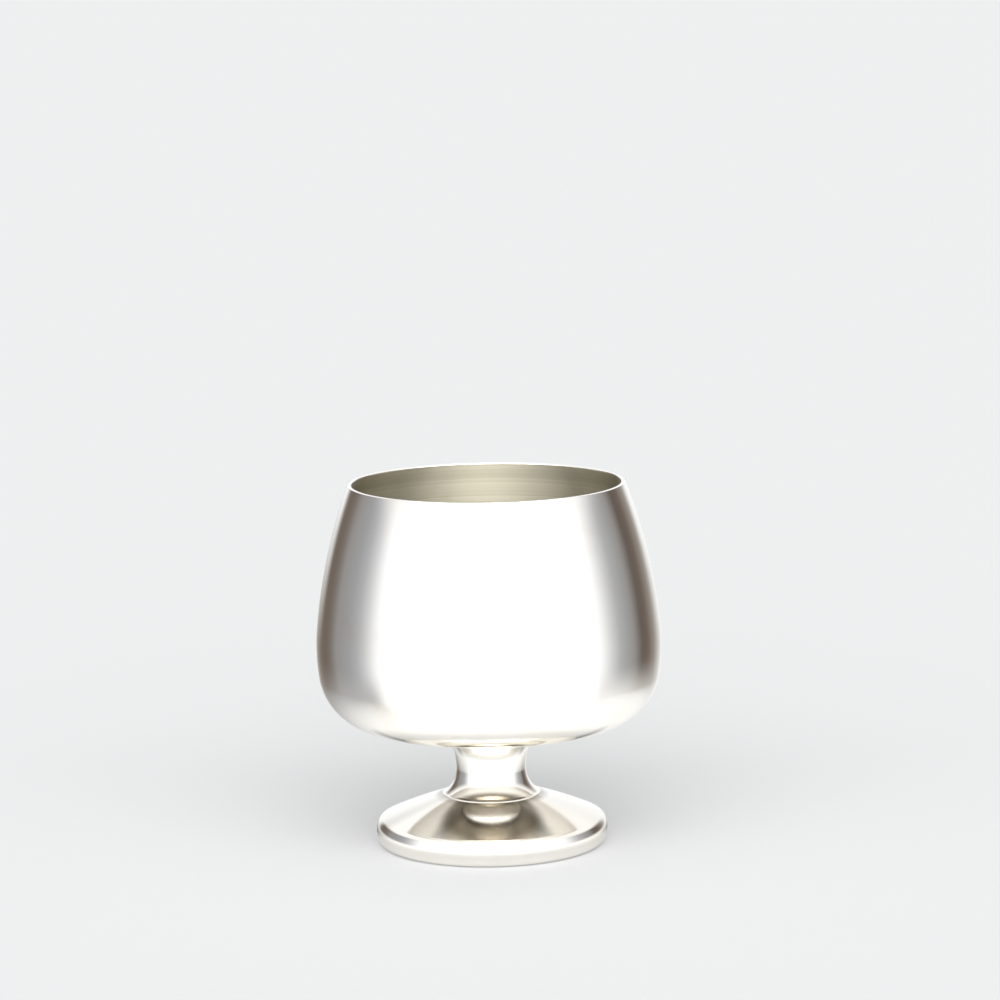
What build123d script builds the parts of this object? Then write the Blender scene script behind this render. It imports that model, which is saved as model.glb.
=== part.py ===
"""Communion chalice: a deep footed cup of spun and turned metal, held together by one tie stud.

The bowl carries a turned boss, brazed under its middle. A stud screwed into the boss passes down
through the hollow stem and the foot, and a nut inside the foot draws the pieces together.
Every piece is round about +Z, and the origin is the centre of the circle that the foot stands on.
"""

import os
from math import asin, cos, degrees, radians, sin, tan

from build123d import *

# Driving dimensions, in millimetres and degrees. Each pair is the (radius, turn) of an arc.
overall_height = 101.6
rim_radius = 38.4
rim_lean = 20.7  # how far the wall leans out below the rim, from upright
bowl_arcs = [(155.0, 15.4), (55.5, 13.9), (16.6, 68.9)]  # side, belly, turn into the underside
bowl_wall = 1.2
rim_rounding = 0.3

dome_radius = 160.0  # the arc of the foot's top, nearly a cone
dome_offset = 34.9  # how far beyond the axis that arc's centre is
dome_edge_radius = 30.7
foot_arcs = [(2.1, 42.1), (6.2, 50.7)]  # shoulder, side
foot_wall = 1.2
hem_flat = 1.6  # width of the flat ring that the foot stands on

stem_foot_radius = 13.7
stem_foot_height = 14.0  # where the stem's lower edge meets the foot
stem_lip_thickness = 0.25
stem_skirt_radius = 13.1  # the straight skirt ends here, at the thin lip
stem_skirt_rise = 0.4
stem_waist_radius = 9.7
stem_waist_height = 21.2
stem_flare = (8.4, 46.0)  # from the waist down to the skirt
stem_neck = (22.0, 10.5)  # from the waist up
stem_collar = (10.0, 20.0)  # from the neck out to the collar's edge
stem_top_height = 29.0
stem_bore_radius = 7.0
stem_mouth_radius = 11.4  # the bore opens to this where it meets the foot
stem_mouth_height = 18.0

boss_radius = 11.6
spigot_length = 8.0
spigot_chamfer = 0.6
spigot_clearance = 0.05

thread_radius = 2.5  # M5: the stud's outside and the tapped holes, at nominal size
tapped_hole_depth = 7.2
stud_engagement = 6.5
stud_past_nut = 2.0
stud_chamfer = 0.5
foot_hole_radius = 2.75

plate_radius = 9.0
plate_edge_thickness = 1.3
washer_radius = 4.6
washer_bore_radius = 2.6
washer_thickness = 1.2
washer_split = 0.8
nut_across_flats = 8.0
nut_height = 4.0
nut_chamfer_angle = 30.0
nut_countersink = 0.4


def arc_height(radius, across):
    """How far an arc is above its centre, at a distance of across to the side of the centre."""
    return (radius**2 - across**2) ** 0.5


def dome_height(reach, inset=0.0):
    """The height of the foot's top, moved in by inset, at a distance of reach from the axis."""
    return dome_centre_height + arc_height(dome_radius - inset, reach + dome_offset)


def follow_arcs(start, heading, arcs, inset=0.0):
    """Adds arcs that run on from one another and bend clockwise, moved in by inset."""
    for radius, turn in arcs:
        arc = JernArc(start=start, tangent=heading, radius=radius - inset, arc_size=-turn)
        start = arc @ 1
        heading = arc % 1
    return start, heading


def bowl_side(inset):
    """Adds the bowl's side, moved in by inset, and returns its upper and lower ends."""
    lean = radians(rim_lean)
    upper_end = Vector(rim_radius - inset * cos(lean), overall_height - inset * sin(lean))
    lower_end, _ = follow_arcs(upper_end, Vector(sin(lean), -cos(lean)), bowl_arcs, inset)
    return upper_end, lower_end


# Heights and centres that follow from the driving dimensions.
dome_centre_height = stem_foot_height - arc_height(dome_radius, stem_foot_radius + dome_offset)
underside_slope = 90 + rim_lean - sum(turn for _, turn in bowl_arcs)

# Bowl: a spun cup of even wall. Its underside is part of a large ball centred on the axis.
with BuildPart() as bowl:
    with BuildSketch(Plane.XZ) as bowl_section:
        with BuildLine():
            rim_edge, turn_end = bowl_side(inset=0)
            wall_start, floor_edge = bowl_side(inset=bowl_wall)
            underside_radius = turn_end.X / sin(radians(underside_slope))
            underside_centre_height = turn_end.Y + underside_radius * cos(radians(underside_slope))
            underside_middle = Vector(0, underside_centre_height - underside_radius)
            floor_middle = underside_middle + Vector(0, bowl_wall)
            RadiusArc(turn_end, underside_middle, underside_radius)
            RadiusArc(floor_edge, floor_middle, underside_radius - bowl_wall)
            Line(underside_middle, floor_middle)
            rise_to_rim = overall_height - wall_start.Y
            rim_inner_edge = wall_start - Vector(rise_to_rim * tan(radians(rim_lean)), -rise_to_rim)
            Polyline(wall_start, rim_inner_edge, rim_edge)
        make_face()
        fillet(bowl_section.vertices().group_by(Axis.Y)[-1], radius=rim_rounding)
    revolve(axis=Axis.Z)
bowl.part.label = "bowl"

# Boss: a thin disc brazed to the bowl's underside, over a spigot that centres the stem.
with BuildPart() as bowl_boss:
    with BuildSketch(Plane.XZ) as boss_section:
        with BuildLine():
            disc_edge_height = underside_centre_height - arc_height(underside_radius, boss_radius)
            disc_edge = Vector(boss_radius, disc_edge_height)
            spigot_radius = stem_bore_radius - spigot_clearance
            spigot_end_height = stem_top_height - spigot_length
            RadiusArc(disc_edge, underside_middle, underside_radius)
            Polyline(
                underside_middle,
                (0, spigot_end_height),
                (spigot_radius, spigot_end_height),
                (spigot_radius, stem_top_height),
                (boss_radius, stem_top_height),
                disc_edge,
            )
        make_face()
        spigot_corner = boss_section.vertices().group_by(Axis.Y)[0].sort_by(Axis.X)[-1]
        chamfer(spigot_corner, length=spigot_chamfer)
    revolve(axis=Axis.Z)
    with Locations((0, 0, spigot_end_height)):
        Cylinder(
            radius=thread_radius,
            height=tapped_hole_depth,
            align=(Align.CENTER, Align.CENTER, Align.MIN),
            mode=Mode.SUBTRACT,
        )
bowl_boss.part.label = "bowl_boss"

# Stem: a turned spool, hollow. It ends in a thin lip whose underside is shaped to sit on the foot.
with BuildPart() as stem:
    with BuildSketch(Plane.XZ):
        with BuildLine():
            waist = Vector(stem_waist_radius, stem_waist_height)
            flare_radius, flare_turn = stem_flare
            neck_radius, neck_turn = stem_neck
            collar_radius, collar_turn = stem_collar
            flare = JernArc(start=waist, tangent=(0, -1), radius=flare_radius, arc_size=flare_turn)
            skirt_end = Vector(stem_skirt_radius, stem_foot_height + stem_skirt_rise)
            foot_edge = Vector(stem_foot_radius, stem_foot_height)
            Polyline(flare @ 1, skirt_end, foot_edge + Vector(0, stem_lip_thickness), foot_edge)
            neck = JernArc(start=waist, tangent=(0, 1), radius=neck_radius, arc_size=-neck_turn)
            collar = JernArc(start=neck @ 1, tangent=neck % 1, radius=collar_radius, arc_size=-collar_turn)
            mouth_edge = Vector(stem_mouth_radius, dome_height(stem_mouth_radius))
            RadiusArc(mouth_edge, foot_edge, dome_radius)
            Polyline(
                collar @ 1,
                ((collar @ 1).X, stem_top_height),
                (stem_bore_radius, stem_top_height),
                (stem_bore_radius, stem_mouth_height),
                mouth_edge,
            )
        make_face()
    revolve(axis=Axis.Z)
stem.part.label = "stem"

# Foot: a spun shell of even wall. A low dome runs over a tight shoulder and a rounded side to a flat ring.
with BuildPart() as foot:
    with BuildSketch(Plane.XZ) as foot_section:
        with BuildLine():
            dome_edge_slope = degrees(asin((dome_edge_radius + dome_offset) / dome_radius))
            shoulder_start = Vector(dome_edge_radius, dome_height(dome_edge_radius))
            heading = Vector(cos(radians(dome_edge_slope)), -sin(radians(dome_edge_slope)))
            side_end, side_heading = follow_arcs(shoulder_start, heading, foot_arcs)
            hem_turn = 180 - dome_edge_slope - sum(turn for _, turn in foot_arcs)
            hem_radius = side_end.Y / (1 - cos(radians(hem_turn)))
            hem_arc = [(hem_radius, hem_turn)]
            hem_end, _ = follow_arcs(side_end, side_heading, hem_arc)

            inner_start = shoulder_start - Vector(-heading.Y, heading.X) * foot_wall
            inner_end, _ = follow_arcs(inner_start, heading, foot_arcs + hem_arc, inset=foot_wall)

            hole_top = Vector(foot_hole_radius, dome_height(foot_hole_radius))
            hole_foot = Vector(foot_hole_radius, dome_height(foot_hole_radius, inset=foot_wall))
            RadiusArc(hole_top, shoulder_start, dome_radius)
            RadiusArc(hole_foot, inner_start, dome_radius - foot_wall)
            Line(hole_top, hole_foot)
            hem_step = Vector(-hem_flat, 0)
            Polyline(hem_end, hem_end + hem_step, inner_end + hem_step, inner_end)
        make_face()
    revolve(axis=Axis.Z)
foot.part.label = "foot"

# Foot plate: spreads the nut's pull over the underside of the dome.
with BuildPart() as foot_plate:
    with BuildSketch(Plane.XZ):
        with BuildLine():
            plate_edge = Vector(plate_radius, dome_height(plate_radius, inset=foot_wall))
            plate_foot_height = plate_edge.Y - plate_edge_thickness
            RadiusArc(hole_foot, plate_edge, dome_radius - foot_wall)
            Polyline(
                plate_edge,
                (plate_radius, plate_foot_height),
                (foot_hole_radius, plate_foot_height),
                hole_foot,
            )
        make_face()
    revolve(axis=Axis.Z)
foot_plate.part.label = "foot_plate"

# Spring washer: a square-section ring with one slanting split.
washer_foot_height = plate_foot_height - washer_thickness
with BuildPart() as spring_washer:
    with BuildSketch(Plane.XY.offset(washer_foot_height)):
        Circle(washer_radius)
        Circle(washer_bore_radius, mode=Mode.SUBTRACT)
    extrude(amount=washer_thickness)
    split_plane = Plane(
        origin=(0, 0, washer_foot_height + washer_thickness / 2), x_dir=(1, 0, 0), z_dir=(0, 1, 1)
    )
    with BuildSketch(split_plane):
        with Locations((washer_radius, 0)):
            Rectangle(2 * washer_radius, 2 * washer_thickness)
    extrude(amount=washer_split / 2, both=True, mode=Mode.SUBTRACT)
spring_washer.part.label = "spring_washer"

# Nut: a plain hexagon, its corners turned off at both ends and its thread countersunk.
nut_foot_height = washer_foot_height - nut_height
nut_corner_radius = nut_across_flats / 2 / cos(radians(30))
with BuildPart() as hex_nut:
    with BuildSketch(Plane.XY.offset(nut_foot_height)):
        RegularPolygon(radius=nut_across_flats / 2, side_count=6, major_radius=False)
    extrude(amount=nut_height)
    with BuildSketch(Plane.XZ):
        with BuildLine():
            corner_drop = (nut_corner_radius - nut_across_flats / 2) * tan(radians(nut_chamfer_angle))
            nut_top_height = nut_foot_height + nut_height
            Polyline(
                (0, nut_foot_height),
                (nut_across_flats / 2, nut_foot_height),
                (nut_corner_radius, nut_foot_height + corner_drop),
                (nut_corner_radius, nut_top_height - corner_drop),
                (nut_across_flats / 2, nut_top_height),
                (0, nut_top_height),
                close=True,
            )
        make_face()
    revolve(axis=Axis.Z, mode=Mode.INTERSECT)
    Hole(radius=thread_radius)
    thread_mouths = hex_nut.edges().filter_by(GeomType.CIRCLE).filter_by(
        lambda edge: abs(edge.radius - thread_radius) < nut_countersink
    )
    chamfer(thread_mouths, length=nut_countersink)
hex_nut.part.label = "hex_nut"

# Tie stud: screwed into the boss, through the stem, foot and plate, and into the nut.
stud_top_height = spigot_end_height + stud_engagement
stud_foot_height = nut_foot_height - stud_past_nut
with BuildPart() as tie_stud:
    with BuildSketch(Plane.XY.offset(stud_foot_height)):
        Circle(thread_radius)
    extrude(amount=stud_top_height - stud_foot_height)
    chamfer(tie_stud.edges().filter_by(GeomType.CIRCLE), length=stud_chamfer)
tie_stud.part.label = "tie_stud"

os.makedirs("parts", exist_ok=True)
for piece in (bowl, bowl_boss, tie_stud, stem, foot, foot_plate, spring_washer, hex_nut):
    export_step(piece.part, f"parts/{piece.part.label}.step")
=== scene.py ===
"""The looks of the communion chalice: spun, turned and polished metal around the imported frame."""

import math

import bmesh
import bpy
from mathutils import Matrix, Vector


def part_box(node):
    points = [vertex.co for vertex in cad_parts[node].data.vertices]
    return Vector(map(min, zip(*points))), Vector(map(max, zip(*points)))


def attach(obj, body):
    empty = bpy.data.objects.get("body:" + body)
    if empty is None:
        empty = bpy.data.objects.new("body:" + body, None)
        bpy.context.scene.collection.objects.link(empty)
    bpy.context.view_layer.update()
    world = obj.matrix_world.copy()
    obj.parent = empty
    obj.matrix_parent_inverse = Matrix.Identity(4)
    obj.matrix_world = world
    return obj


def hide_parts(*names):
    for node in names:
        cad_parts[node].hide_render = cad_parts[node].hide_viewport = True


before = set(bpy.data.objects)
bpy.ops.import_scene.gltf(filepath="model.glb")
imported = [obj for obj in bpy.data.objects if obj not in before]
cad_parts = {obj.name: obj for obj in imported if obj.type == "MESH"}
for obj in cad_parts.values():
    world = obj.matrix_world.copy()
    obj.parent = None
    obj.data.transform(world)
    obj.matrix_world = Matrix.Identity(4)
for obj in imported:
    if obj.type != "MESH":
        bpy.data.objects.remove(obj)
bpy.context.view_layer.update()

MM = 0.001
BODY = "root"

# Driving dimensions, in millimetres and degrees, as the frame has them. Pairs are (radius, turn) of an arc.
OVERALL_HEIGHT = 101.6
RIM_RADIUS = 38.4
RIM_LEAN = 20.7
BOWL_ARCS = [(155.0, 15.4), (55.5, 13.9), (16.6, 68.9)]
BOWL_WALL = 1.2
RIM_ROUNDING = 0.3
LINING = 0.1  # the satin inside is a skin of this depth
LINING_DROP = 0.35  # how far below the rim the satin begins

DOME_RADIUS = 160.0
DOME_OFFSET = 34.9  # how far beyond the axis the centre of the foot's top arc is
DOME_EDGE_RADIUS = 30.7
FOOT_ARCS = [(2.1, 42.1), (6.2, 50.7)]
FOOT_WALL = 1.2
HEM_FLAT = 1.6
FOOT_HOLE_RADIUS = 2.75

STEM_FOOT_RADIUS = 13.7
STEM_FOOT_HEIGHT = 14.0
STEM_SKIRT_RADIUS = 13.1
STEM_SKIRT_RISE = 0.4
STEM_LIP_EDGE = 0.25
STEM_WAIST_RADIUS = 9.7
STEM_WAIST_HEIGHT = 21.2
STEM_FLARE = (8.4, 46.0)
STEM_NECK = (22.0, 10.5)
STEM_COLLAR = (10.0, 20.0)
STEM_BORE_RADIUS = 7.0
STEM_BORE_CLEARANCE = 0.05
STEM_MOUTH_RADIUS = 11.4
STEM_MOUTH_HEIGHT = 18.0
STEM_TOP_HEIGHT = 29.0
BOSS_RADIUS = 11.6

PLATE_RADIUS = 9.0
WASHER_RADIUS = 4.6
WASHER_BORE_RADIUS = 2.6
WASHER_SPLIT = 0.8
NUT_ACROSS_FLATS = 8.0
NUT_CHAMFER_ANGLE = 30.0
NUT_COUNTERSINK = 0.4
THREAD_RADIUS = 2.5
THREAD_PITCH = 0.8
THREAD_DEPTH = 0.43
STUD_CHAMFER = 0.5

# How finely the meshes are cut.
ROUND_STEPS = 256  # faces round each turned piece
WASHER_STEPS = 120
NUT_STEPS = 96
NUT_CHAMFER_STEPS = 6
STUD_STEPS = 48
FLARE_STEPS = 16
LEVELS_PER_PITCH = 8
LONGEST_EDGE = 1.2  # along an outline
SHARP_BEND = math.radians(40)  # edges that bend more than this stay crisp
ON_AXIS = 1e-6  # points nearer than this to the axis lie on it


# Outlines. A point is (distance from the axis, height) in millimetres.


def eased(count):
    """Fractions from 0 to 1, closer together at both ends, where an outline changes its bend."""
    return [(1 - math.cos(math.pi * i / count)) / 2 for i in range(count + 1)]


def steps_along(length, least):
    """How many edges a stretch of outline gets."""
    return max(least, math.ceil(length / LONGEST_EDGE))


def follow_arcs(start, heading, arcs, inset=0.0):
    """Points along arcs that run on from one another and bend clockwise, with the last heading."""
    points = [start]
    for radius, turn in arcs:
        radius -= inset
        centre = (start[0] + radius * math.sin(heading), start[1] - radius * math.cos(heading))
        for part in eased(steps_along(radius * math.radians(abs(turn)), least=8))[1:]:
            angle = heading - math.radians(turn) * part
            points.append((centre[0] - radius * math.sin(angle), centre[1] + radius * math.cos(angle)))
        heading -= math.radians(turn)
        start = points[-1]
    return points, heading


def polyline(*corners):
    """Points along a run of straight stretches."""
    points = [corners[0]]
    for start, end in zip(corners, corners[1:]):
        parts = eased(steps_along(math.dist(start, end), least=2))[1:]
        points += [tuple(Vector(start).lerp(Vector(end), part)) for part in parts]
    return points


def rounded(corner, before, after, radius, steps=5):
    """Points of a small arc that takes the place of a corner between two neighbours."""
    to_before = (Vector(before) - Vector(corner)).normalized()
    to_after = (Vector(after) - Vector(corner)).normalized()
    half = to_before.angle(to_after) / 2
    centre = Vector(corner) + (to_before + to_after).normalized() * (radius / math.sin(half))
    first = Vector(corner) + to_before * (radius / math.tan(half)) - centre
    last = Vector(corner) + to_after * (radius / math.tan(half)) - centre
    spokes = [first.lerp(last, i / steps).normalized() * radius for i in range(steps + 1)]
    return [tuple(centre + spoke) for spoke in spokes]


def reaches(start, end):
    """Distances from the axis, in short steps."""
    return [start + (end - start) * part for part in eased(steps_along(abs(end - start), least=6))]


def foot_top(reach, inset=0.0):
    """The height of the foot's top, moved in by inset, at a distance from the axis."""
    rise = math.sqrt(DOME_RADIUS**2 - (STEM_FOOT_RADIUS + DOME_OFFSET) ** 2)
    return STEM_FOOT_HEIGHT - rise + math.sqrt((DOME_RADIUS - inset) ** 2 - (reach + DOME_OFFSET) ** 2)


def bowl_side(inset):
    """The bowl's side from the rim to its underside, with the underside's slope."""
    lean = math.radians(RIM_LEAN)
    start = (RIM_RADIUS - inset * math.cos(lean), OVERALL_HEIGHT - inset * math.sin(lean))
    points, heading = follow_arcs(start, lean - math.pi / 2, BOWL_ARCS, inset)
    return points, heading + math.pi


def underside_height(reach, inset=0.0):
    """The height of the bowl's underside, moved in by inset. It is part of a ball centred on the axis."""
    points, slope = bowl_side(0)
    end = points[-1]
    radius = end[0] / math.sin(slope)
    return end[1] + radius * math.cos(slope) - math.sqrt((radius - inset) ** 2 - reach**2)


def bowl_skin(inset):
    """The bowl's surface from the rim's plane to the axis, moved in by inset."""
    side, _ = bowl_side(inset)
    under = [(reach, underside_height(reach, inset)) for reach in reaches(side[-1][0], 0.0)]
    skin = side + under[1:]
    rise = OVERALL_HEIGHT - side[0][1]
    if rise > 0:
        skin.insert(0, (side[0][0] - rise * math.tan(math.radians(RIM_LEAN)), OVERALL_HEIGHT))
    return skin


# Meshes. A point is (x, y, height) in millimetres until a shell is made of it.


def angles_round(steps, shift=0.0):
    """Angles at equal steps about the axis, the first of them a share of a step on."""
    return [2 * math.pi * (i + shift) / steps for i in range(steps)]


def point_at(reach, angle, height):
    return (reach * math.cos(angle), reach * math.sin(angle), height)


def ring(reach, height):
    """A level circle of points about the axis, or the one point on it."""
    if reach < ON_AXIS:
        return [(0.0, 0.0, height)]
    return [point_at(reach, angle, height) for angle in angles_round(ROUND_STEPS, 0.5)]


def middle_of(points):
    return tuple(sum((Vector(point) for point in points), Vector()) / len(points))


def turned(name, outline):
    """A piece turned round +Z from a closed outline."""
    return shell(name, [ring(reach, height) for reach, height in outline], outline[0][0] > ON_AXIS)


def shell(name, rings, joined):
    """A skin over a run of rings of points, joined end to start or not. A ring of one point is a tip."""
    verts = []
    rows = []
    for points in rings:
        first = len(verts)
        verts += [Vector(point) * MM for point in points]
        rows.append(range(first, len(verts)))
    steps = max(len(row) for row in rows)
    pairs = list(zip(rows, rows[1:]))
    if joined:
        pairs.append((rows[-1], rows[0]))
    faces = []
    for here, there in pairs:
        for i in range(steps):
            j = (i + 1) % steps
            near = [here[i % len(here)], here[j % len(here)]]
            far = [there[j % len(there)], there[i % len(there)]]
            corners = near + far
            faces.append([corner for k, corner in enumerate(corners) if corner != corners[k - 1]])
    mesh = bpy.data.meshes.new(name)
    mesh.from_pydata(verts, [], faces)
    work = bmesh.new()
    work.from_mesh(mesh)
    bmesh.ops.recalc_face_normals(work, faces=work.faces)
    for face in work.faces:
        face.smooth = True
    work.to_mesh(mesh)
    work.free()
    mesh.set_sharp_from_angle(angle=SHARP_BEND)
    piece = bpy.data.objects.new(name, mesh)
    bpy.context.scene.collection.objects.link(piece)
    return piece


def place(piece, material, slot, *nodes):
    """Gives a piece its material, and lets it stand for CAD nodes on their body."""
    piece.data.materials.append(material)
    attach(piece, BODY)
    if nodes:
        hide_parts(*nodes)


# Materials


class Nodes:
    """A short way to wire the nodes of a material or of the world."""

    def __init__(self, tree):
        self.tree = tree

    def add(self, kind, settings=None, **inputs):
        made = self.tree.nodes.new(kind)
        for key, value in (settings or {}).items():
            setattr(made, key, value)
        for key, value in inputs.items():
            self.feed(made, key.replace("_", " "), value)
        return made

    def feed(self, node, key, value):
        if isinstance(value, bpy.types.NodeSocket):
            self.tree.links.new(value, node.inputs[key])
        else:
            node.inputs[key].default_value = value

    def math(self, operation, *values):
        made = self.add("ShaderNodeMath", {"operation": operation})
        for i, value in enumerate(values):
            self.feed(made, i, value)
        return made.outputs[0]

    def remap(self, value, low, high, to_low=0.0, to_high=1.0, kind="SMOOTHSTEP"):
        made = self.add("ShaderNodeMapRange", {"interpolation_type": kind}, Value=value)
        ends = {"From Min": low, "From Max": high, "To Min": to_low, "To Max": to_high}
        for key, number in ends.items():
            made.inputs[key].default_value = number
        return made.outputs[0]

    def blend(self, share, first, second):
        made = self.add("ShaderNodeMix", {"data_type": "RGBA"}, Factor=share)
        self.feed(made, "A", first)
        self.feed(made, "B", second)
        return made.outputs["Result"]

    def noise(self, vector, scale, detail=2.0, distortion=0.0):
        made = self.add("ShaderNodeTexNoise", None, Vector=vector, Scale=scale, Detail=detail)
        made.inputs["Distortion"].default_value = distortion
        return made.outputs[0]

    def lines(self, value, scale, detail=3.0):
        """Noise that changes along one value only."""
        settings = {"noise_dimensions": "1D"}
        return self.add("ShaderNodeTexNoise", settings, W=value, Scale=scale, Detail=detail).outputs[0]

    def length(self, across, up):
        """The length of the two legs' long side."""
        squares = [self.math("MULTIPLY", leg, leg) for leg in (across, up)]
        return self.math("SQRT", self.math("ADD", *squares))


REACH_IN_ALONG = 0.7  # how much of the reach counts, with the height, along an outline
SCRATCH_ARM = 0.035  # metres from the axis at which scratches have their true length
SCRATCH_EDGE = 0.05  # how softly a scratch ends, as a share of the noise
HOLLOW_EDGE = 1.5  # millimetres in which the foot's polish ends, inside its edge


class Metal(Nodes):
    """A metal with a place on the turned shape: the turn about the axis, the reach from it, the height."""

    def __init__(self, name):
        self.material = bpy.data.materials.new(name)
        self.material.use_nodes = True
        super().__init__(self.material.node_tree)
        self.surface = self.tree.nodes["Principled BSDF"]
        self.surface.inputs["Metallic"].default_value = 1.0
        self.where = self.add("ShaderNodeTexCoord").outputs["Object"]
        x, y, self.height = self.add("ShaderNodeSeparateXYZ", None, Vector=self.where).outputs
        self.turn = self.math("ARCTAN2", y, x)
        self.reach = self.length(x, y)
        self.along = self.math("MULTIPLY_ADD", self.reach, REACH_IN_ALONG, self.height)

    def hairlines(self, slant, length, width, share):
        """Thin random scratches. Length and width are in millimetres, and share is how few there are."""
        around = self.math("MULTIPLY", self.turn, SCRATCH_ARM)
        flat = self.add("ShaderNodeCombineXYZ", None, X=around, Y=self.along)
        turned_flat = self.add("ShaderNodeMapping", {"vector_type": "TEXTURE"}, Vector=flat.outputs[0])
        turned_flat.inputs["Rotation"].default_value = (0, 0, math.radians(slant))
        turned_flat.inputs["Scale"].default_value = (length * MM, width * MM, 1)
        streaks = self.noise(turned_flat.outputs[0], 1.0, 1.0)
        return self.remap(streaks, share, share + SCRATCH_EDGE)

    def within(self, full, gone):
        """1 nearer to the axis than one distance and 0 beyond the other, in millimetres."""
        return self.remap(self.reach, full * MM, gone * MM, 1.0, 0.0)

    def near_joint(self, reach, height, spread):
        """1 at a joint's circle and 0 from spread outwards, in millimetres."""
        across = self.math("SUBTRACT", self.reach, reach * MM)
        up = self.math("SUBTRACT", self.height, height * MM)
        return self.remap(self.length(across, up), 0.0, spread * MM, 1.0, 0.0)

    def in_hollow(self):
        """1 on the unpolished underside of the foot and 0 elsewhere."""
        facing = self.add("ShaderNodeNewGeometry").outputs["Normal"]
        facing_up = self.add("ShaderNodeSeparateXYZ", None, Vector=facing).outputs["Z"]
        low = self.math("LESS_THAN", self.height, STEM_FOOT_HEIGHT * MM)
        inner = self.within(DOME_EDGE_RADIUS - HOLLOW_EDGE, DOME_EDGE_RADIUS)
        facing_down = self.math("LESS_THAN", facing_up, 0.0)
        return self.math("MULTIPLY", self.math("MULTIPLY", low, inner), facing_down)

    def bump(self, height, depth):
        """Raises the surface by up to depth, in millimetres."""
        made = self.add("ShaderNodeBump", None, Height=height, Strength=1.0, Distance=depth * MM)
        self.feed(self.surface, "Normal", made.outputs[0])


CLEAN = (0.93, 0.905, 0.85, 1)
SMEARED = (0.90, 0.865, 0.79, 1)
# The next two tones are partly tarnish and partly painted shade: darker metal by the joints and under the
# bowl, black at the seam round the boss.
TARNISH_SHADE_TONE = (0.26, 0.23, 0.185, 1)
SEAM_BLACK_SHADE_TONE = (0.11, 0.095, 0.075, 1)
UNPOLISHED = (0.62, 0.595, 0.54, 1)

# Where the tarnish and painted shade lie, in millimetres. Pairs are distances from the axis where they are
# full and gone.
JOINT_TARNISH_SHADE = 3.0
BOSS_TARNISH_SHADE = (17.0, 24.0)
SEAM_BLACK_SHADE = (11.0, 14.0)


def polished_metal():
    """Bright plated metal with faint smears, turning lines, hairlines, and tarnish with painted shade at
    the joints.
    """
    metal = Metal("polished_metal")
    smears = metal.noise(metal.where, 55.0, 4.0, 0.8)
    turning = metal.lines(metal.along, 2600.0)
    shallow, steep = metal.hairlines(4, 9.0, 0.05, 0.70), metal.hairlines(-38, 5.0, 0.05, 0.73)
    scratches = metal.math("MAXIMUM", shallow, steep)

    # Tarnish and painted shade lie on the foot beside the stem's lip, and under the bowl round the boss.
    on_foot = metal.math("LESS_THAN", metal.height, STEM_FOOT_HEIGHT * MM)
    by_lip = metal.near_joint(STEM_FOOT_RADIUS, STEM_FOOT_HEIGHT, JOINT_TARNISH_SHADE)
    foot_tarnish_shade = metal.math("MULTIPLY", by_lip, on_foot)
    foot_tarnish_shade = metal.math("MULTIPLY", foot_tarnish_shade, metal.remap(smears, 0.25, 0.65, 0.3, 0.8))
    round_boss = metal.within(*BOSS_TARNISH_SHADE)
    above_stem = metal.remap(metal.height, (STEM_TOP_HEIGHT - 0.5) * MM, STEM_TOP_HEIGHT * MM)
    under_bowl_tarnish_shade = metal.math("MULTIPLY", round_boss, above_stem)
    under_bowl_tarnish_shade = metal.math("MULTIPLY", under_bowl_tarnish_shade, metal.remap(smears, 0.2, 0.6, 0.8, 1.0))
    # Where the metal is darkened and roughened: tarnish, with painted shade, by the foot joint and under
    # the bowl.
    tarnish_shade_mask = metal.math("MAXIMUM", foot_tarnish_shade, under_bowl_tarnish_shade)

    clean = metal.blend(metal.remap(smears, 0.45, 0.75), CLEAN, SMEARED)
    # Dark khaki tarnish and painted shade, black nearest the axis at the seam under the bowl.
    tarnish_and_shade = metal.blend(metal.within(*SEAM_BLACK_SHADE), TARNISH_SHADE_TONE, SEAM_BLACK_SHADE_TONE)
    hollow = metal.in_hollow()
    tone = metal.blend(tarnish_shade_mask, clean, tarnish_and_shade)
    metal.feed(metal.surface, "Base Color", metal.blend(hollow, tone, UNPOLISHED))
    roughness = metal.remap(smears, 0.35, 0.75, 0.085, 0.135)
    roughness = metal.math("MULTIPLY_ADD", turning, 0.02, roughness)
    roughness = metal.math("MULTIPLY_ADD", scratches, 0.10, roughness)
    roughness = metal.math("MULTIPLY_ADD", tarnish_shade_mask, 0.10, roughness)
    roughness = metal.math("MULTIPLY_ADD", hollow, metal.remap(smears, 0.3, 0.7, 0.22, 0.34), roughness)
    metal.feed(metal.surface, "Roughness", roughness)
    relief = metal.math("MULTIPLY_ADD", turning, 0.12, metal.noise(metal.where, 34.0, 1.0))
    metal.bump(metal.math("MULTIPLY_ADD", scratches, -0.05, relief), 0.004)
    return metal.material


SATIN_DARK = (0.44, 0.41, 0.325, 1)
SATIN_LIGHT = (0.55, 0.52, 0.42, 1)
SATIN_STAIN = (0.38, 0.345, 0.265, 1)


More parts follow.
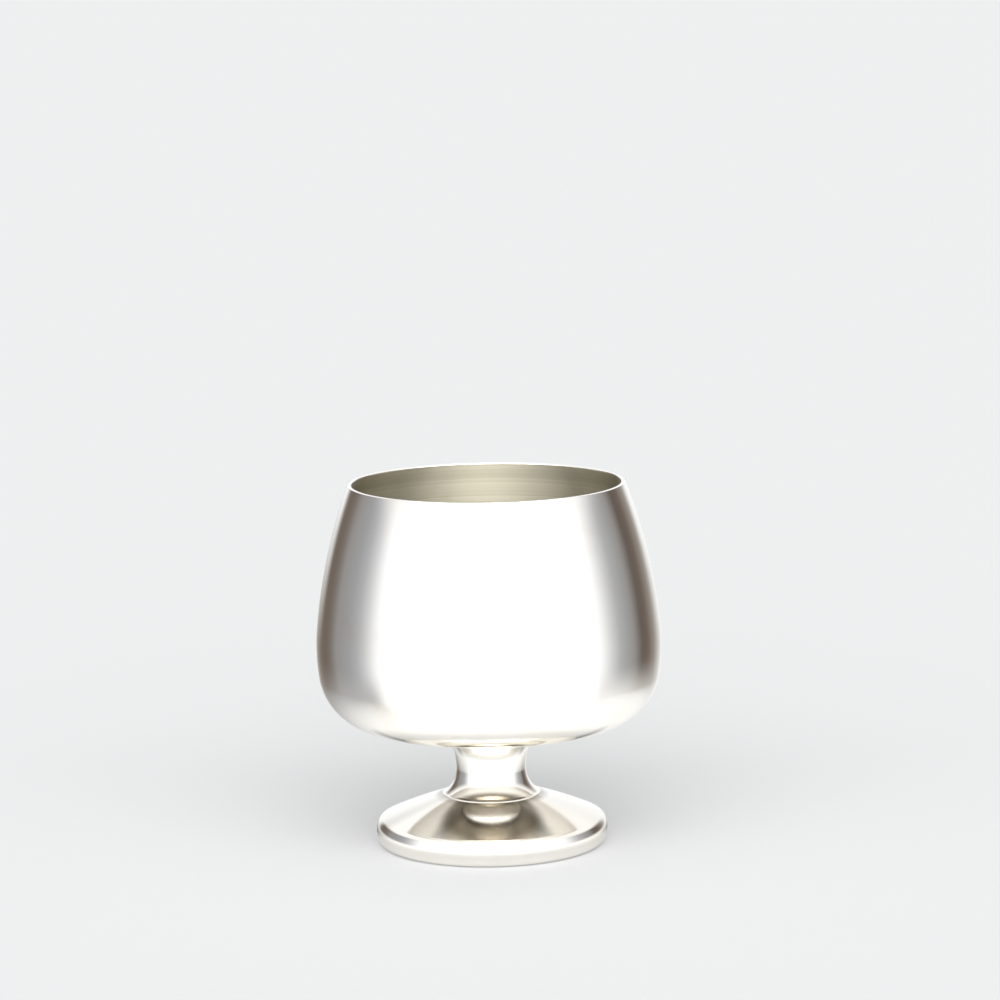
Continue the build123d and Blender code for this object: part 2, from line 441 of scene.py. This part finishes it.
def satin_metal():
    """The bowl's inside: fine turning lines in a satin finish, with a few marks of use."""
    metal = Metal("satin_metal")
    fine = metal.lines(metal.along, 3200.0)
    broad = metal.lines(metal.along, 420.0, 1.0)
    stains = metal.noise(metal.where, 48.0, 4.0, 0.5)
    shallow, steep = metal.hairlines(24, 8.0, 0.06, 0.70), metal.hairlines(-52, 6.0, 0.06, 0.72)
    scratches = metal.math("MAXIMUM", shallow, steep)
    shade = metal.math("ADD", metal.math("MULTIPLY", fine, 0.55), metal.math("MULTIPLY", broad, 0.45))
    tone = metal.blend(metal.remap(shade, 0.3, 0.7), SATIN_DARK, SATIN_LIGHT)
    tone = metal.blend(metal.remap(stains, 0.5, 0.8, 0.0, 0.5), tone, SATIN_STAIN)
    metal.feed(metal.surface, "Base Color", tone)
    roughness = metal.remap(stains, 0.3, 0.7, 0.50, 0.58)
    roughness = metal.math("MULTIPLY_ADD", fine, 0.06, roughness)
    metal.feed(metal.surface, "Roughness", metal.math("MULTIPLY_ADD", scratches, -0.10, roughness))
    metal.surface.inputs["Anisotropic"].default_value = 0.9
    metal.surface.inputs["Anisotropic Rotation"].default_value = 0.25
    tangent = metal.add("ShaderNodeTangent", {"direction_type": "RADIAL", "axis": "Z"})
    metal.feed(metal.surface, "Tangent", tangent.outputs[0])
    metal.bump(metal.math("MULTIPLY_ADD", scratches, -0.6, fine), 0.006)
    return metal.material


STEEL_BRIGHT = (0.60, 0.60, 0.59, 1)
STEEL_GRIME = (0.36, 0.34, 0.31, 1)


def plain_steel():
    """The fasteners: grey machined steel with patches of grime."""
    metal = Metal("plain_steel")
    grime = metal.noise(metal.where, 420.0, 4.0, 0.4)
    machining = metal.lines(metal.along, 5200.0)
    tone = metal.blend(metal.remap(grime, 0.4, 0.75), STEEL_BRIGHT, STEEL_GRIME)
    metal.feed(metal.surface, "Base Color", tone)
    roughness = metal.math("MULTIPLY_ADD", machining, 0.08, metal.remap(grime, 0.3, 0.7, 0.26, 0.48))
    metal.feed(metal.surface, "Roughness", roughness)
    metal.bump(machining, 0.006)
    return metal.material


# Pieces


def make_bowl():
    """The bowl, with its inside cut back by the depth of the satin lining that covers it."""
    outer = bowl_skin(0.0)
    wall = bowl_skin(BOWL_WALL)
    outer_corner = rounded(outer[0], outer[1], wall[0], RIM_ROUNDING)
    inner_corner = rounded(wall[0], outer[0], wall[2], RIM_ROUNDING)
    lining_top = OVERALL_HEIGHT - LINING_DROP
    inside = [point for point in bowl_skin(BOWL_WALL - LINING) if point[1] < lining_top - LINING]
    return turned("bowl", outer[:0:-1] + outer_corner + inner_corner + inside)


def make_lining():
    """The satin inside, as a thin closed skin of its own."""
    lining_top = OVERALL_HEIGHT - LINING_DROP
    face = [point for point in bowl_skin(BOWL_WALL) if point[1] < lining_top]
    back = [point for point in bowl_skin(BOWL_WALL - LINING / 2) if point[1] < lining_top]
    return turned("bowl_lining", face[::-1] + back)


def make_foot():
    """A low dome that runs over its edge and curls in under itself to a flat hem."""
    slope = math.asin((DOME_EDGE_RADIUS + DOME_OFFSET) / DOME_RADIUS)
    edge = (DOME_EDGE_RADIUS, foot_top(DOME_EDGE_RADIUS))
    side, heading = follow_arcs(edge, -slope, FOOT_ARCS)
    hem_turn = 180 + math.degrees(heading)
    hem_radius = side[-1][1] / (1 - math.cos(math.radians(hem_turn)))
    arcs = FOOT_ARCS + [(hem_radius, hem_turn)]
    outer, _ = follow_arcs(edge, -slope, arcs)
    inner_start = (edge[0] - FOOT_WALL * math.sin(slope), edge[1] - FOOT_WALL * math.cos(slope))
    inner, _ = follow_arcs(inner_start, -slope, arcs, FOOT_WALL)
    top = [(reach, foot_top(reach)) for reach in reaches(FOOT_HOLE_RADIUS, edge[0])]
    under = [(reach, foot_top(reach, FOOT_WALL)) for reach in reaches(inner_start[0], FOOT_HOLE_RADIUS)]
    hem = polyline(
        outer[-1],
        (outer[-1][0] - HEM_FLAT, outer[-1][1]),
        (inner[-1][0] - HEM_FLAT, inner[-1][1]),
        inner[-1],
    )
    return turned("foot", top + outer[1:] + hem[1:-1] + inner[::-1] + under[1:])


def make_stem():
    """A waisted spool: a collar and neck above the waist, a flare, skirt and thin lip below it."""
    waist = (STEM_WAIST_RADIUS, STEM_WAIST_HEIGHT)
    neck, _ = follow_arcs(waist, math.pi / 2, [STEM_NECK, STEM_COLLAR])
    flare_radius, flare_turn = STEM_FLARE
    turns = [math.radians(flare_turn) * part for part in eased(FLARE_STEPS)[1:]]
    flare = [
        (waist[0] + flare_radius * (1 - math.cos(angle)), waist[1] - flare_radius * math.sin(angle))
        for angle in turns
    ]
    skirt_end = (STEM_SKIRT_RADIUS, STEM_FOOT_HEIGHT + STEM_SKIRT_RISE)
    lip = (STEM_FOOT_RADIUS, STEM_FOOT_HEIGHT + STEM_LIP_EDGE)
    skirt = polyline(flare[-1], skirt_end, lip)
    seat = [(reach, foot_top(reach)) for reach in reaches(STEM_FOOT_RADIUS, STEM_MOUTH_RADIUS)]
    inside = polyline(
        seat[-1],
        (STEM_BORE_RADIUS, STEM_MOUTH_HEIGHT),
        (STEM_BORE_RADIUS, STEM_TOP_HEIGHT),
        (neck[-1][0], STEM_TOP_HEIGHT),
    )
    return turned("stem", neck[::-1] + flare[:-1] + skirt + seat[:-1] + inside)


def make_boss():
    """The disc under the bowl, with the spigot that centres it in the stem."""
    spigot_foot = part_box("bowl_boss")[0].z / MM
    spigot_radius = STEM_BORE_RADIUS - STEM_BORE_CLEARANCE
    top = [(reach, underside_height(reach)) for reach in reaches(0.0, BOSS_RADIUS)]
    low = polyline(
        top[-1],
        (BOSS_RADIUS, STEM_TOP_HEIGHT),
        (spigot_radius, STEM_TOP_HEIGHT),
        (spigot_radius, spigot_foot),
        (0.0, spigot_foot),
    )
    return turned("bowl_boss", top + low[1:])


def make_plate():
    """The plate that fits against the underside of the dome."""
    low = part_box("foot_plate")[0].z / MM
    top = [(reach, foot_top(reach, FOOT_WALL)) for reach in reaches(FOOT_HOLE_RADIUS, PLATE_RADIUS)]
    rest = polyline(top[-1], (PLATE_RADIUS, low), (FOOT_HOLE_RADIUS, low))
    return turned("foot_plate", top + rest[1:])


def make_washer():
    """A split ring. Its two ends slant, so that the lower edge of one comes before the upper."""
    low, high = (corner.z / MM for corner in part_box("spring_washer"))
    middle = (low + high) / 2
    section = [
        (WASHER_BORE_RADIUS, low),
        (WASHER_RADIUS, low),
        (WASHER_RADIUS, high),
        (WASHER_BORE_RADIUS, high),
    ]
    gap = WASHER_SPLIT / 2 / WASHER_RADIUS
    rings = []
    for i in range(WASHER_STEPS + 1):
        angle = gap + (2 * math.pi - 2 * gap) * i / WASHER_STEPS
        slanted = [(reach, angle + (height - middle) / reach, height) for reach, height in section]
        rings.append([point_at(*spot) for spot in slanted])
    return shell("spring_washer", [[middle_of(rings[0])]] + rings + [[middle_of(rings[-1])]], False)


def nut_edge(depth, height):
    """The nut's outline at a depth below an end face: the hexagon, cut by the chamfer's cone."""
    flat = NUT_ACROSS_FLATS / 2
    cone = flat + depth / math.tan(math.radians(NUT_CHAMFER_ANGLE))
    points = []
    for angle in angles_round(NUT_STEPS):
        off_flat = (angle + math.pi / 6) % (math.pi / 3) - math.pi / 6
        points.append(point_at(min(flat / math.cos(off_flat), cone), angle, height))
    return points


def nut_hole(reach, height):
    return [point_at(reach, angle, height) for angle in angles_round(NUT_STEPS)]


def make_nut():
    """A hexagon nut with both ends chamfered and its hole countersunk."""
    low, high = (corner.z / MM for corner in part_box("hex_nut"))
    flat = NUT_ACROSS_FLATS / 2
    drop = (flat / math.cos(math.pi / 6) - flat) * math.tan(math.radians(NUT_CHAMFER_ANGLE))
    depths = [drop * i / NUT_CHAMFER_STEPS for i in range(NUT_CHAMFER_STEPS + 1)]
    mouth = THREAD_RADIUS + NUT_COUNTERSINK
    rings = [nut_hole(THREAD_RADIUS, low + NUT_COUNTERSINK), nut_hole(mouth, low)]
    rings += [nut_edge(depth, low + depth) for depth in depths]
    rings += [nut_edge(depth, high - depth) for depth in depths[::-1]]
    rings += [nut_hole(mouth, high), nut_hole(THREAD_RADIUS, high - NUT_COUNTERSINK)]
    return shell("hex_nut", rings, True)


def make_stud():
    """A threaded rod. The thread is a ridge that climbs by one pitch in each turn."""
    low, high = (corner.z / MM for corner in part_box("tie_stud"))
    levels = math.ceil((high - low) / THREAD_PITCH * LEVELS_PER_PITCH)
    rings = [[(0.0, 0.0, low)]]
    for level in range(levels + 1):
        height = low + (high - low) * level / levels
        chamfered = THREAD_RADIUS - STUD_CHAMFER + min(height - low, high - height)
        points = []
        for angle in angles_round(STUD_STEPS):
            groove = abs(((height / THREAD_PITCH - angle / (2 * math.pi)) % 1) * 2 - 1)
            points.append(point_at(min(THREAD_RADIUS - THREAD_DEPTH * groove, chamfered), angle, height))
        rings.append(points)
    return shell("tie_stud", rings + [[(0.0, 0.0, high)]], False)


# Stage, light and camera. Lengths here are in metres.

FLOOR_HALF = 40.0
FLOOR_TONE = (0.245, 0.249, 0.250, 1)
FLOOR_LIGHT = 0.27
MIRRORED_GLOW = 0.40  # how much lighter the metal sees the floor, beyond the foot
MIRRORED_SHADE = 0.5  # how much darker just behind the foot
FAR_CENTRE = (0.01, -0.055)  # the point from which the mirrored floor is far or near
FAR_START = 0.045
FAR_END = 0.17
VIEW_DISTANCE = 1.0582
VIEW_ELEVATION = math.radians(11.12)
VIEW_ROLL = math.radians(-1.0)
VIEW_LENS = 136.8
SENSOR = 36.0
AIM_HEIGHT = 0.05147
AIM_RIGHT = -0.0135  # how far the view is turned off the cup, as a share of the picture's width
AIM_DOWN = 0.160

# The tone of the surroundings at an angle about the axis, in degrees: 0 is in front, 90 on the right.
AROUND = [
    (-180, (1.0, 1.0, 1.0)),
    (-173, (0.75, 0.74, 0.73)),
    (-166, (0.45, 0.42, 0.39)),
    (-157, (0.27, 0.235, 0.21)),
    (-147, (0.175, 0.145, 0.125)),
    (-138, (0.17, 0.14, 0.12)),
    (-130, (0.21, 0.185, 0.175)),
    (-122, (0.31, 0.305, 0.31)),
    (-106, (0.36, 0.37, 0.395)),
    (-97, (0.46, 0.47, 0.51)),
    (-89, (0.66, 0.68, 0.72)),
    (-81, (1.0, 1.02, 1.08)),
    (-74, (1.25, 1.27, 1.32)),
    (74, (1.25, 1.27, 1.32)),
    (81, (1.0, 1.02, 1.08)),
    (89, (0.68, 0.70, 0.74)),
    (97, (0.46, 0.47, 0.50)),
    (106, (0.36, 0.37, 0.39)),
    (112, (0.32, 0.31, 0.31)),
    (122, (0.135, 0.11, 0.10)),
    (131, (0.16, 0.13, 0.11)),
    (143, (0.32, 0.29, 0.27)),
    (154, (0.62, 0.61, 0.60)),
    (165, (0.95, 0.95, 0.95)),
    (180, (1.0, 1.0, 1.0)),
]
OVERHEAD = (1.10, 1.10, 1.11, 1)
WINDOW = (9.0, 9.0, 9.0, 1)
WINDOW_SIDE = (5.2, 5.2, 5.2, 1)
WALL_BEHIND = (1.05, 1.07, 1.10, 1)
TABLE_LEFT = (0.50, 0.505, 0.52, 1)
TABLE_RIGHT = (0.94, 0.95, 0.96, 1)
SEEN_TWICE = (0.85, 0.83, 0.79, 1)
TWICE_SHARE = 0.60  # how much of that tone a second mirroring takes on
BACKDROP = (0.74, 0.75, 0.75, 1)


def make_floor():
    """A plain pale floor.

    Where the metal mirrors it, it is brighter round the foot and darker just behind it, and farther
    out it gives way to the surroundings.
    """
    corners = [(-1, -1), (1, -1), (1, 1), (-1, 1)]
    mesh = bpy.data.meshes.new("floor")
    mesh.from_pydata([(x * FLOOR_HALF, y * FLOOR_HALF, 0) for x, y in corners], [], [range(4)])
    floor = bpy.data.objects.new("floor", mesh)
    bpy.context.scene.collection.objects.link(floor)
    material = bpy.data.materials.new("floor")
    material.use_nodes = True
    nodes = Nodes(material.node_tree)
    surface = nodes.tree.nodes["Principled BSDF"]
    surface.inputs["Base Color"].default_value = FLOOR_TONE
    surface.inputs["Specular IOR Level"].default_value = 0.0
    surface.inputs["Emission Color"].default_value = (1, 1, 1, 1)
    mirrored = nodes.add("ShaderNodeLightPath").outputs["Is Glossy Ray"]
    where = nodes.add("ShaderNodeNewGeometry").outputs["Position"]
    x, y, _ = nodes.add("ShaderNodeSeparateXYZ", None, Vector=where).outputs
    reach = nodes.length(x, y)
    glow = nodes.remap(reach, 0.035, 0.055, 0.0, MIRRORED_GLOW)
    near_foot = nodes.remap(reach, 0.046, 0.060, MIRRORED_SHADE, 0.0)
    shade = nodes.math("MULTIPLY", nodes.remap(y, 0.0, 0.02), near_foot)
    mirrored_light = nodes.math("MULTIPLY", nodes.math("SUBTRACT", glow, shade), mirrored)
    nodes.feed(surface, "Emission Strength", nodes.math("ADD", mirrored_light, FLOOR_LIGHT))
    across, along = (nodes.math("SUBTRACT", *pair) for pair in zip((x, y), FAR_CENTRE))
    far = nodes.remap(nodes.length(across, along), FAR_START, FAR_END)
    mix = nodes.add("ShaderNodeMixShader")
    nodes.feed(mix, 0, nodes.math("MULTIPLY", far, mirrored))
    nodes.feed(mix, 1, surface.outputs[0])
    nodes.feed(mix, 2, nodes.add("ShaderNodeBsdfTransparent").outputs[0])
    nodes.feed(nodes.tree.nodes["Material Output"], "Surface", mix.outputs[0])
    floor.data.materials.append(material)


def make_world():
    """Soft surroundings: a window in front, dark at both sides, pale above, behind and low down."""
    world = bpy.data.worlds.new("studio")
    bpy.context.scene.world = world
    world.use_nodes = True
    nodes = Nodes(world.node_tree)
    towards = nodes.add("ShaderNodeTexCoord").outputs["Generated"]
    x, y, z = nodes.add("ShaderNodeSeparateXYZ", None, Vector=towards).outputs
    angle = nodes.math("ARCTAN2", x, nodes.math("MULTIPLY", y, -1.0))
    share = nodes.math("MULTIPLY_ADD", angle, 1 / (2 * math.pi), 0.5)
    ramp = nodes.add("ShaderNodeValToRGB", None, Fac=share)
    elements = ramp.color_ramp.elements
    elements.remove(elements[-1])
    for i, (degrees, tone) in enumerate(AROUND):
        element = elements.new(0.5 + degrees / 360) if i else elements[0]
        element.color = (*tone, 1)

    # Beside the cup and low down, the table, paler on the right.
    table = nodes.blend(nodes.remap(x, -0.4, 0.4), TABLE_LEFT, TABLE_RIGHT)
    beside = nodes.math("MULTIPLY", nodes.remap(y, -0.25, 0.0), nodes.remap(z, -0.44, -0.19, 1.0, 0.0))
    sky = nodes.blend(beside, ramp.outputs[0], table)

    # What is mirrored a second time is drawn towards one pale tone.
    light_path = nodes.add("ShaderNodeLightPath")
    again = nodes.remap(light_path.outputs["Glossy Depth"], 1.0, 2.0, 0.0, TWICE_SHARE, "LINEAR")
    sky = nodes.blend(again, sky, SEEN_TWICE)

    sky = nodes.blend(nodes.remap(z, 0.26, 0.50), sky, OVERHEAD)

    # In front and up, a window that is brightest in its middle.
    window = nodes.math("MULTIPLY", nodes.remap(y, -0.60, -0.25, 1.0, 0.0), nodes.remap(z, 0.10, 0.35))
    middle = nodes.remap(nodes.math("ABSOLUTE", x), 0.10, 0.60, 1.0, 0.0)
    sky = nodes.blend(window, sky, nodes.blend(middle, WINDOW_SIDE, WINDOW))

    wall_behind = nodes.math("MULTIPLY", nodes.remap(y, 0.82, 0.96), nodes.remap(z, -0.18, -0.02))
    sky = nodes.blend(wall_behind, sky, WALL_BEHIND)

    # The camera itself sees a plain backdrop.
    sky = nodes.blend(light_path.outputs["Is Camera Ray"], sky, BACKDROP)
    nodes.feed(nodes.tree.nodes["Background"], "Color", sky)


def make_camera():
    """A long lens, a little above the cup and rolled by a degree."""
    camera = bpy.data.objects.new("camera", bpy.data.cameras.new("camera"))
    bpy.context.scene.collection.objects.link(camera)
    camera.data.lens = VIEW_LENS
    camera.data.sensor_width = SENSOR
    camera.data.clip_end = 100
    back = Vector((0, -math.cos(VIEW_ELEVATION), math.sin(VIEW_ELEVATION)))
    camera.location = Vector((0, 0, AIM_HEIGHT)) + back * VIEW_DISTANCE
    look = (-back).to_track_quat("-Z", "Y").to_matrix()
    focal = VIEW_LENS / SENSOR
    pitch = Matrix.Rotation(math.atan(AIM_DOWN / focal), 3, "X")
    yaw = Matrix.Rotation(math.atan(AIM_RIGHT / focal), 3, "Y")
    roll = Matrix.Rotation(VIEW_ROLL, 3, "Z")
    camera.rotation_euler = (look @ pitch @ yaw @ roll).to_euler()
    bpy.context.scene.camera = camera


POLISHED = polished_metal()
SATIN = satin_metal()
STEEL = plain_steel()
place(make_bowl(), POLISHED, "polished_metal", "bowl")
place(make_lining(), SATIN, "satin_metal")
place(make_foot(), POLISHED, "polished_metal", "foot")
place(make_stem(), POLISHED, "polished_metal", "stem")
place(make_boss(), POLISHED, "polished_metal", "bowl_boss")
place(make_plate(), STEEL, "plain_steel", "foot_plate")
place(make_washer(), STEEL, "plain_steel", "spring_washer")
place(make_nut(), STEEL, "plain_steel", "hex_nut")
place(make_stud(), STEEL, "plain_steel", "tie_stud")
make_floor()
make_world()
make_camera()
bpy.context.scene.view_settings.view_transform = "Standard"
